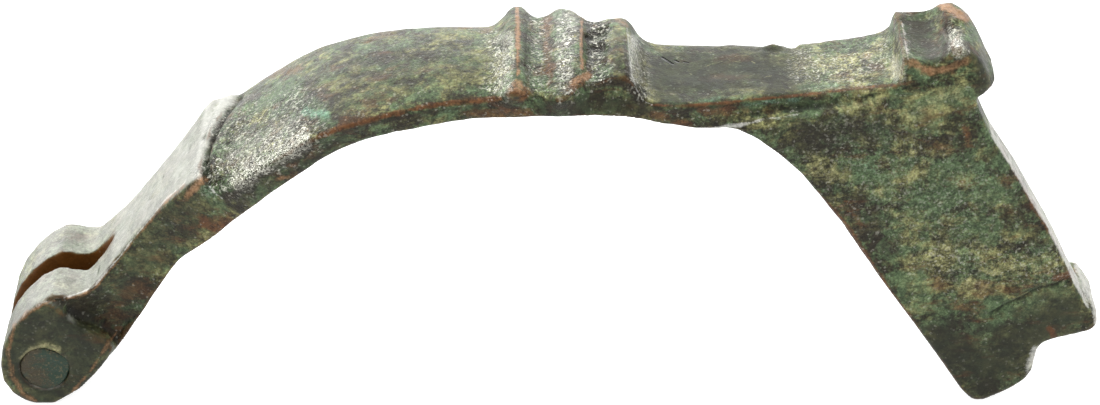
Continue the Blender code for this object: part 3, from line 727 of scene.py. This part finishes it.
def back_to_metres(item, skin):
    skin.points = skin.points * MM
    skin.refresh()
    for face in item.data.polygons:
        face.use_smooth = True


def build_worn_casting():
    item = copy_in_mm("brooch_casting", "worn_casting")
    remesh(item, CASTING_GRID)
    skin = Skin(item.data)
    skin.points = skin.smoothed(skin.points, CASTING_ROUNDS)
    skin.refresh()
    low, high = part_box("brooch_casting")
    add_relief(skin, np.array(low) / MM, np.array(high) / MM)

    pixels = photo_pixels(skin.points)
    seen = facing_photo(skin)
    proud = skin.bulge(BULGE_ROUNDS)
    # Hollows, which get painted shade
    hollow_shade = smooth_step(HOLLOW_FADE, -proud)
    skin.store("rim", smooth_step(RIM_FADE, proud))
    skin.store("hollow_shade", hollow_shade)
    store_strokes(skin, pixels, seen)
    store_head(skin, pixels, hollow_shade)
    back_to_metres(item, skin)
    return item


class Recipe:
    """Adds shader nodes one after another and wires them up."""

    def __init__(self, name):
        self.material = bpy.data.materials.new(name)
        self.material.use_nodes = True
        self.tree = self.material.node_tree
        self.shader = self.tree.nodes["Principled BSDF"]
        place = self.tree.nodes.new("ShaderNodeTexCoord")
        scale = self.tree.nodes.new("ShaderNodeMapping")
        scale.inputs["Scale"].default_value = (1.0 / MM, 1.0 / MM, 1.0 / MM)
        self.tree.links.new(place.outputs["Object"], scale.inputs["Vector"])
        self.place = scale.outputs["Vector"]

    def put(self, value, socket):
        if isinstance(value, bpy.types.NodeSocket):
            self.tree.links.new(value, socket)
        elif isinstance(value, tuple):
            socket.default_value = (value[0], value[1], value[2], 1.0)
        else:
            socket.default_value = value

    def attribute(self, name):
        node = self.tree.nodes.new("ShaderNodeAttribute")
        node.attribute_name = name
        return node.outputs["Fac"]

    def noise(self, look, place=None):
        per_mm, detail, roughness, distortion = look
        node = self.tree.nodes.new("ShaderNodeTexNoise")
        node.inputs["Scale"].default_value = per_mm
        node.inputs["Detail"].default_value = detail
        node.inputs["Roughness"].default_value = roughness
        node.inputs["Distortion"].default_value = distortion
        self.tree.links.new(place or self.place, node.inputs["Vector"])
        return node.outputs["Fac"]

    def crumbs(self):
        """Rounded crumbs: their height and a chance value for each."""
        node = self.tree.nodes.new("ShaderNodeTexVoronoi")
        node.inputs["Scale"].default_value = CRUMBS_PER_MM
        self.tree.links.new(self.place, node.inputs["Vector"])
        split = self.tree.nodes.new("ShaderNodeSeparateColor")
        self.tree.links.new(node.outputs["Color"], split.inputs["Color"])
        return self.step(node.outputs["Distance"], *CRUMB_DOME), split.outputs["Red"]

    def stretched(self, turn, scale):
        node = self.tree.nodes.new("ShaderNodeMapping")
        node.inputs["Rotation"].default_value = turn
        node.inputs["Scale"].default_value = scale
        self.tree.links.new(self.place, node.inputs["Vector"])
        return node.outputs["Vector"]

    def math(self, operation, first, second):
        node = self.tree.nodes.new("ShaderNodeMath")
        node.operation = operation
        self.put(first, node.inputs[0])
        self.put(second, node.inputs[1])
        return node.outputs[0]

    def step(self, value, low, high, bottom=0.0, top=1.0):
        node = self.tree.nodes.new("ShaderNodeMapRange")
        node.interpolation_type = "SMOOTHSTEP"
        self.put(value, node.inputs["Value"])
        node.inputs["From Min"].default_value = low
        node.inputs["From Max"].default_value = high
        node.inputs["To Min"].default_value = bottom
        node.inputs["To Max"].default_value = top
        return node.outputs["Result"]

    def mix(self, share, first, second):
        node = self.tree.nodes.new("ShaderNodeMix")
        node.data_type = "RGBA"
        self.put(share, node.inputs[0])
        self.put(first, node.inputs[6])
        self.put(second, node.inputs[7])
        return node.outputs[2]

    def blend(self, share, first, second):
        node = self.tree.nodes.new("ShaderNodeMix")
        self.put(share, node.inputs[0])
        self.put(first, node.inputs[2])
        self.put(second, node.inputs[3])
        return node.outputs[0]

    def vector(self, operation, first, second):
        node = self.tree.nodes.new("ShaderNodeVectorMath")
        node.operation = operation
        for value, socket in ((first, node.inputs[0]), (second, node.inputs[1])):
            if isinstance(value, bpy.types.NodeSocket):
                self.tree.links.new(value, socket)
            else:
                socket.default_value = value
        return node.outputs["Value" if operation in ("DOT_PRODUCT", "LENGTH") else "Vector"]

    def scratch(self, start, end, half_width):
        """1 along a straight scratch seen from above, in millimetres."""
        run = (end[0] - start[0], end[1] - start[1], 0.0)
        squared = run[0] ** 2 + run[1] ** 2
        flat = self.vector("MULTIPLY", self.place, (1.0, 1.0, 0.0))
        away = self.vector("SUBTRACT", flat, (start[0], start[1], 0.0))
        share = self.vector("DOT_PRODUCT", away, (run[0] / squared, run[1] / squared, 0.0))
        share = self.math("MINIMUM", self.math("MAXIMUM", share, 0.0), 1.0)
        off = self.vector("SUBTRACT", away, self.shade(run, share))
        distance = self.vector("LENGTH", off, (0.0, 0.0, 0.0))
        return self.step(distance, half_width, SCRATCH_CORE * half_width)

    def shade(self, colour, share):
        """A colour or a direction made larger or smaller by a share."""
        node = self.tree.nodes.new("ShaderNodeVectorMath")
        node.operation = "SCALE"
        if isinstance(colour, bpy.types.NodeSocket):
            self.tree.links.new(colour, node.inputs[0])
        else:
            node.inputs[0].default_value = colour
        self.put(share, node.inputs["Scale"])
        return node.outputs[0]

    def scaled(self, value, share):
        return self.math("MULTIPLY", value, share)

    def spread(self, fac, width):
        """A noise moved to be around zero and widened."""
        return self.math("MULTIPLY", self.math("SUBTRACT", fac, 0.5), width)

    def ragged_mask(self, name, ragged):
        """A stored mask with its border eaten away by noise."""
        mask = self.attribute(name)
        torn = self.math("ADD", mask, self.math("MULTIPLY", ragged, MASK_TORN))
        return self.math("MULTIPLY", self.step(torn, *MASK_TORN_FADE), self.step(mask, *MASK_FADE))

    def bump(self, height, strength, distance, normal=None):
        node = self.tree.nodes.new("ShaderNodeBump")
        self.put(height, node.inputs["Height"])
        self.put(strength, node.inputs["Strength"])
        node.inputs["Distance"].default_value = distance
        if normal is not None:
            self.tree.links.new(normal, node.inputs["Normal"])
        return node.outputs["Normal"]


def make_patina(name):
    recipe = Recipe(name)
    slanted = recipe.stretched((0.0, BAND_SLANT, 0.0), BAND_STRETCH)
    broad = recipe.noise(BROAD_NOISE)
    bands = recipe.noise(BAND_NOISE, slanted)
    medium = recipe.noise(MEDIUM_NOISE)
    grit = recipe.noise(GRIT_NOISE)
    fine = recipe.noise(FINE_NOISE)
    mottle = recipe.noise(MOTTLE_NOISE)
    sand = recipe.noise(SAND_NOISE)
    crumb_dome, crumb_tone = recipe.crumbs()

    # The drawn marks. A step's first two numbers are places on its value's scale.
    ragged = recipe.math("ADD", recipe.spread(medium, 1.6), recipe.spread(mottle, 1.6))
    ragged = recipe.math("ADD", ragged, recipe.spread(fine, 1.8))
    dark_and_shade = recipe.ragged_mask("dark_and_shade", ragged)
    pale = recipe.ragged_mask("pale", ragged)
    green = recipe.ragged_mask("green", ragged)
    brown = recipe.ragged_mask("brown", ragged)
    bronze = recipe.ragged_mask("bronze", recipe.scaled(ragged, 0.8))
    lit = recipe.ragged_mask("lit", ragged)
    rim = recipe.scaled(recipe.ragged_mask("rim", ragged), COVER["rim"])
    grain = recipe.attribute("grain")
    shine = recipe.attribute("shine")
    calm = recipe.attribute("calm")
    slot_wall = recipe.attribute("slot_wall")
    head_top_sheen = recipe.attribute("head_top_sheen")

    # Olive metal under a crust, verdigris and russet, and the drawn marks on top
    colour = recipe.mix(recipe.step(medium, 0.40, 0.60), DARK_OLIVE, OLIVE)
    crust = recipe.math("ADD", recipe.spread(bands, 1.8), recipe.spread(broad, 0.9))
    crust = recipe.math("ADD", crust, recipe.spread(mottle, 0.8))
    crust = recipe.math("ADD", crust, recipe.spread(fine, 0.3))
    tip = recipe.math("SUBTRACT", recipe.attribute("pale"), recipe.attribute("dark_and_shade"))
    crust = recipe.math("ADD", crust, recipe.scaled(tip, 0.55))
    lively = recipe.math("SUBTRACT", 1.0, recipe.scaled(calm, 0.85))
    crusted = recipe.math("MULTIPLY", recipe.step(crust, -0.06, 0.42), lively)
    colour = recipe.mix(crusted, colour, YELLOW_GREEN)
    colour = recipe.mix(recipe.step(crust, -0.02, -0.34, 0.0, 0.9), colour, BROWN_BLACK)
    verdigris = recipe.math("ADD", recipe.noise(VERDIGRIS_NOISE), recipe.spread(fine, 0.2))
    verdigris = recipe.math("ADD", verdigris, recipe.scaled(recipe.attribute("green"), 0.22))
    mossy = recipe.step(calm, 0.0, 0.9, 0.8, 0.15)
    mossy = recipe.math("MULTIPLY", recipe.step(verdigris, 0.44, 0.62), mossy)
    colour = recipe.mix(mossy, colour, LEAF_GREEN)
    browned = recipe.scaled(recipe.attribute("brown"), 0.20)
    russet = recipe.math("ADD", recipe.noise(RUSSET_NOISE, slanted), browned)
    colour = recipe.mix(recipe.step(russet, 0.54, 0.66, 0.0, 0.6), colour, RUSSET)
    colour = recipe.mix(recipe.scaled(calm, COVER["calm"]), colour, CALM_GREY)
    # The drawn dark marks: brown-black patina, and painted shade where they lie in shade
    colour = recipe.mix(recipe.scaled(dark_and_shade, COVER["dark_and_shade"]), colour, BROWN_BLACK)
    colour = recipe.mix(recipe.scaled(pale, COVER["pale"]), colour, PALE_CRUST)
    colour = recipe.mix(recipe.scaled(green, COVER["green"]), colour, TURQUOISE)
    colour = recipe.mix(recipe.scaled(brown, COVER["brown"]), colour, RUSSET)
    # Painted shade darkens the hollows
    colour = recipe.mix(recipe.scaled(recipe.attribute("hollow_shade"), COVER["hollow_shade"]), colour, SHADE_BLACK)
    head_sheen = recipe.step(recipe.attribute("dark_and_shade"), 0.0, 1.0, 1.0, 0.3)
    head_sheen = recipe.math("MULTIPLY", head_top_sheen, head_sheen)
    # Smooth grey metal brightened by a painted sheen on the head's flat top
    colour = recipe.mix(head_sheen, colour, HEAD_SHEEN_GREY)
    colour = recipe.mix(slot_wall, colour, SLOT_ORANGE)

    # Sheltered places are even in tone, and grainy ones have the most contrast
    sheltered = recipe.math("MAXIMUM", calm, recipe.math("MAXIMUM", slot_wall, head_top_sheen))
    contrast = recipe.blend(grain, recipe.step(sheltered, 0.0, 1.0, 0.38, 0.12), 1.0)
    flecks = recipe.blend(contrast, 1.0, recipe.step(fine, 0.38, 0.66, 0.32, 1.65))
    uneven = recipe.step(sheltered, 0.0, 1.0, 1.0, 0.25)
    clumps = recipe.blend(uneven, 1.0, recipe.step(grit, 0.36, 0.62, 0.74, 1.26))
    patches = recipe.blend(uneven, 1.0, recipe.step(mottle, 0.38, 0.62, 0.72, 1.30))
    clumps = recipe.math("MULTIPLY", clumps, patches)
    colour = recipe.shade(recipe.shade(colour, flecks), clumps)
    # Painted shade in the pores and between the crumbs of grainy places
    pore_shade = recipe.math("MULTIPLY", recipe.step(grit, 0.44, 0.34, 0.0, 0.65), contrast)
    colour = recipe.mix(pore_shade, colour, SHADE_BLACK)
    shaded = recipe.math("MULTIPLY", recipe.step(crumb_tone, 0.30, 0.05, 0.0, 0.7), grain)
    colour = recipe.mix(shaded, colour, SHADE_BLACK)
    # Painted sheen on the shining places, and painted glints on crumbs and stray specks
    painted_sheen = recipe.math("MULTIPLY", shine, recipe.step(sand, 0.40, 0.60))
    colour = recipe.mix(recipe.scaled(painted_sheen, COVER["painted_sheen"]), colour, GLINT_WHITE)
    sparkle = recipe.math("ADD", crumb_tone, recipe.scaled(shine, 0.20))
    glint = recipe.math("MULTIPLY", recipe.step(sparkle, 0.62, 0.95, 0.0, 0.9), grain)
    stray_glints = recipe.math("MULTIPLY", recipe.step(crumb_tone, 0.93, 0.97, 0.0, 0.5), contrast)
    painted_glints = recipe.math("MULTIPLY", recipe.math("MAXIMUM", glint, stray_glints), recipe.step(grit, 0.40, 0.58))
    colour = recipe.mix(painted_glints, colour, GLINT_WHITE)

    # Rims worn to bare metal, painted highlights, and scratches
    worn = recipe.math("MAXIMUM", rim, bronze)
    polished = recipe.math("MULTIPLY", bronze, recipe.step(grit, 0.36, 0.60, 0.35, 1.0))
    colour = recipe.mix(worn, colour, recipe.mix(polished, BARE_BROWN, BARE_BRONZE))
    # Painted highlights on lit edges and faces
    colour = recipe.mix(recipe.scaled(lit, COVER["lit"]), colour, HIGHLIGHT_GREY)
    broken = recipe.step(grit, 0.42, 0.62, 0.0, 0.5)
    # Scratches and specks on the foot's top, with painted glints
    for start, end, half_width in GLINTS:
        glinting = recipe.scratch(spot_on_foot(start), spot_on_foot(end), half_width)
        colour = recipe.mix(recipe.scaled(glinting, broken), colour, PALE_CRUST)
    grooves = 0.0
    for start, end, half_width in SCRATCHES:
        scratched = recipe.scratch(spot_on_foot(start), spot_on_foot(end), half_width)
        grooves = recipe.math("MAXIMUM", grooves, scratched)
    # Painted shade in the scratches' grooves
    colour = recipe.mix(grooves, colour, SHADE_BLACK)
    recipe.put(colour, recipe.shader.inputs["Base Color"])
    metal = recipe.math("MAXIMUM", recipe.scaled(worn, 0.4), recipe.scaled(painted_glints, 0.7))
    metal = recipe.math("MAXIMUM", metal, recipe.scaled(painted_sheen, 0.7))
    recipe.put(metal, recipe.shader.inputs["Metallic"])

    # Gloss, and relief that is finer than the mesh
    rough = recipe.step(grit, 0.35, 0.65, *GRIT_ROUGHNESS)
    rough = recipe.blend(grain, rough, GRAIN_ROUGHNESS)
    recipe.put(recipe.blend(shine, rough, SHINE_ROUGHNESS), recipe.shader.inputs["Roughness"])
    recipe.shader.inputs["Specular IOR Level"].default_value = PATINA_SPECULAR
    quiet = recipe.step(sheltered, 0.0, 1.0, 0.50, 0.12)
    normal = recipe.bump(medium, quiet, MEDIUM_BUMP)
    normal = recipe.bump(grit, recipe.blend(grain, quiet, 0.7), GRIT_BUMP, normal)
    normal = recipe.bump(crumb_dome, recipe.blend(grain, 0.04, 0.9), CRUMB_BUMP, normal)
    normal = recipe.bump(recipe.math("SUBTRACT", 1.0, grooves), 1.0, SCRATCH_BUMP, normal)
    recipe.put(normal, recipe.shader.inputs["Normal"])
    return recipe.material


def make_rod_patina(name, middle_along):
    """Brown on the side of the head's end and green on the other side."""
    recipe = Recipe(name)
    medium = recipe.noise(ROD_NOISE)
    split = recipe.tree.nodes.new("ShaderNodeSeparateXYZ")
    recipe.tree.links.new(recipe.place, split.inputs["Vector"])
    side = recipe.step(
        split.outputs["X"], middle_along - ROD_SPLIT, middle_along + ROD_SPLIT,
        -ROD_SPLIT_SHIFT, ROD_SPLIT_SHIFT
    )
    medium = recipe.math("ADD", medium, side)
    fine = recipe.noise(ROD_FINE_NOISE)
    colour = recipe.mix(recipe.step(medium, 0.36, 0.62), ROD_BROWN, ROD_GREEN)
    colour = recipe.mix(recipe.step(fine, 0.52, 0.72, 0.0, 0.7), colour, ROD_CRUMB)
    recipe.put(colour, recipe.shader.inputs["Base Color"])
    recipe.put(recipe.step(fine, 0.3, 0.7, *ROD_ROUGHNESS), recipe.shader.inputs["Roughness"])
    recipe.shader.inputs["Specular IOR Level"].default_value = ROD_SPECULAR
    recipe.put(recipe.bump(fine, 0.9, ROD_BUMP), recipe.shader.inputs["Normal"])
    return recipe.material


def build_rod():
    item = copy_in_mm("hinge_axle", "corroded_hinge_rod")
    remesh(item, ROD_GRID)
    skin = Skin(item.data)
    low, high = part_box("hinge_axle")
    skin.points = skin.smoothed(skin.points, ROD_ROUNDS)
    skin.refresh()
    middle = 0.5 * (np.array(low) + np.array(high)) / MM
    lumps = ROD_LUMP_HEIGHT * noise_at(skin.points, ROD_LUMP_PATTERN)
    skin.push(lumps + ROD_CRUMB_HEIGHT * noise_at(skin.points, ROD_CRUMB_PATTERN))
    away = skin.points - middle
    across_rod = away * np.array((1.0, 0.0, 1.0))
    swell = ROD_SWELL + ROD_SWELL_UNEVEN * noise_at(across_rod, ROD_OUTLINE_PATTERN)
    away[:, 0] *= swell
    away[:, 2] *= swell
    skin.points = middle + away
    back_to_metres(item, skin)
    return item


def place_camera():
    data = bpy.data.cameras.new("photo_camera")
    data.sensor_width = SENSOR_WIDTH
    data.lens = SENSOR_WIDTH * FOCAL_PIXELS / PHOTO_WIDTH
    data.clip_start = CAMERA_CLIP
    camera = bpy.data.objects.new("photo_camera", data)
    camera.location = CAMERA_PLACE
    camera.rotation_euler = (0.5 * math.pi - CAMERA_ELEVATION, 0.0, 0.0)
    bpy.context.scene.collection.objects.link(camera)
    bpy.context.scene.camera = camera


def add_softbox(name, place, width, height, radiance):
    """A soft rectangular light that faces the brooch."""
    data = bpy.data.lights.new(name, "AREA")
    data.shape = "RECTANGLE"
    data.size = width
    data.size_y = height
    data.energy = radiance * math.pi * width * height
    light = bpy.data.objects.new(name, data)
    light.location = place
    light.rotation_euler = (-Vector(place)).to_track_quat("-Z", "Y").to_euler()
    bpy.context.scene.collection.objects.link(light)


def build_studio():
    size = FLOOR_HALF_SIZE
    corners = [(-size, -size, 0.0), (size, -size, 0.0), (size, size, 0.0), (-size, size, 0.0)]
    mesh = bpy.data.meshes.new("floor")
    mesh.from_pydata(corners, [], [(0, 1, 2, 3)])
    floor = bpy.data.objects.new("floor", mesh)
    bpy.context.scene.collection.objects.link(floor)
    paper = bpy.data.materials.new("light_table")
    paper.use_nodes = True
    shader = paper.node_tree.nodes["Principled BSDF"]
    shader.inputs["Base Color"].default_value = (FLOOR_GREY, FLOOR_GREY, FLOOR_GREY, 1.0)
    shader.inputs["Emission Color"].default_value = (1.0, 1.0, 1.0, 1.0)
    shader.inputs["Emission Strength"].default_value = FLOOR_GLOW
    shader.inputs["Roughness"].default_value = FLOOR_ROUGHNESS
    shader.inputs["Specular IOR Level"].default_value = FLOOR_SPECULAR
    mesh.materials.append(paper)

    for name, place, width, height, radiance in SOFTBOXES:
        add_softbox(name, place, width, height, radiance)
    world = bpy.data.worlds.new("studio")
    world.use_nodes = True
    background = world.node_tree.nodes["Background"]
    background.inputs["Color"].default_value = (1.0, 1.0, 1.0, 1.0)
    background.inputs["Strength"].default_value = WORLD_GLOW
    bpy.context.scene.world = world
    bpy.context.scene.view_settings.view_transform = "Standard"


def main():
    place_camera()
    build_studio()
    casting = build_worn_casting()
    casting.data.materials.append(make_patina("bronze_patina"))
    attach(casting, "root")
    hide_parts("brooch_casting")
    rod = build_rod()
    low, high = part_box("hinge_axle")
    rod.data.materials.append(make_rod_patina("rod_patina", 0.5 * (low[0] + high[0]) / MM))
    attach(rod, "root")
    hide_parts("hinge_axle")


main()
